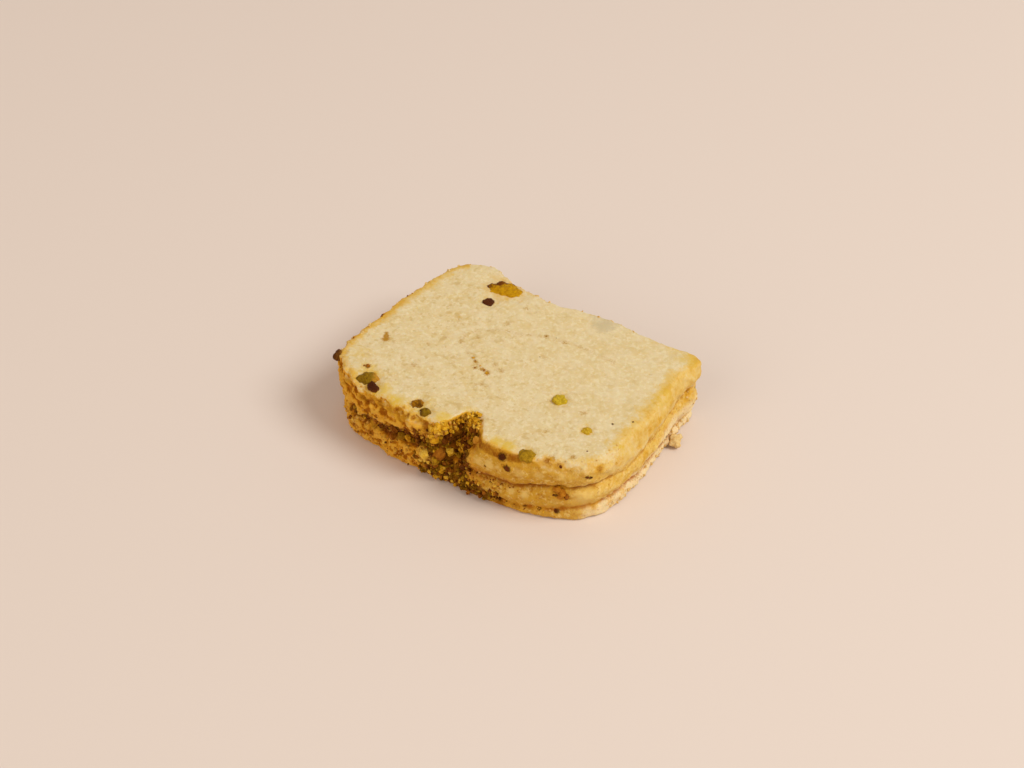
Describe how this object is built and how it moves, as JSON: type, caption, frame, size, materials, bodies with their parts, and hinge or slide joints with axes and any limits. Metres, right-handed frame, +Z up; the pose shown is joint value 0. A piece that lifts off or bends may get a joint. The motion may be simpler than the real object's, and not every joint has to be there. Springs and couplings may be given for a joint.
{
  "type": "loaf cake slice",
  "caption": "Thick slice of pale lemon and pistachio loaf cake lying on a cut face, with a domed, creased crust, a deep split and chopped nuts.",
  "frame": {"origin": "on the floor under the middle of the slice's bounding box", "axes": "+X across the loaf's width, from the left shoulder to the right side; +Y from the domed top crust to the loaf's base; +Z up through the slice's thickness, to the upper cut face"},
  "size_m": [0.1046, 0.0788, 0.0257],
  "materials": {
    "lemon_crumb": "matte",
    "pistachio_green": "matte",
    "pistachio_gold": "matte",
    "pistachio_skin": "matte"
  },
  "bodies": {
    "root": {"cake_slice": "lemon_crumb", "nut_kernel_green": "pistachio_green", "nut_kernel_skin": "pistachio_skin", "nut_round_green": "pistachio_green", "nut_block_green": "pistachio_green", "nut_left_green": "pistachio_green", "nut_left_skin": "pistachio_skin", "nut_front_gold": "pistachio_gold", "nut_front_green": "pistachio_green", "nut_rim_olive": "pistachio_green", "nut_shoulder_skin": "pistachio_skin"}
  },
  "joints": []
}
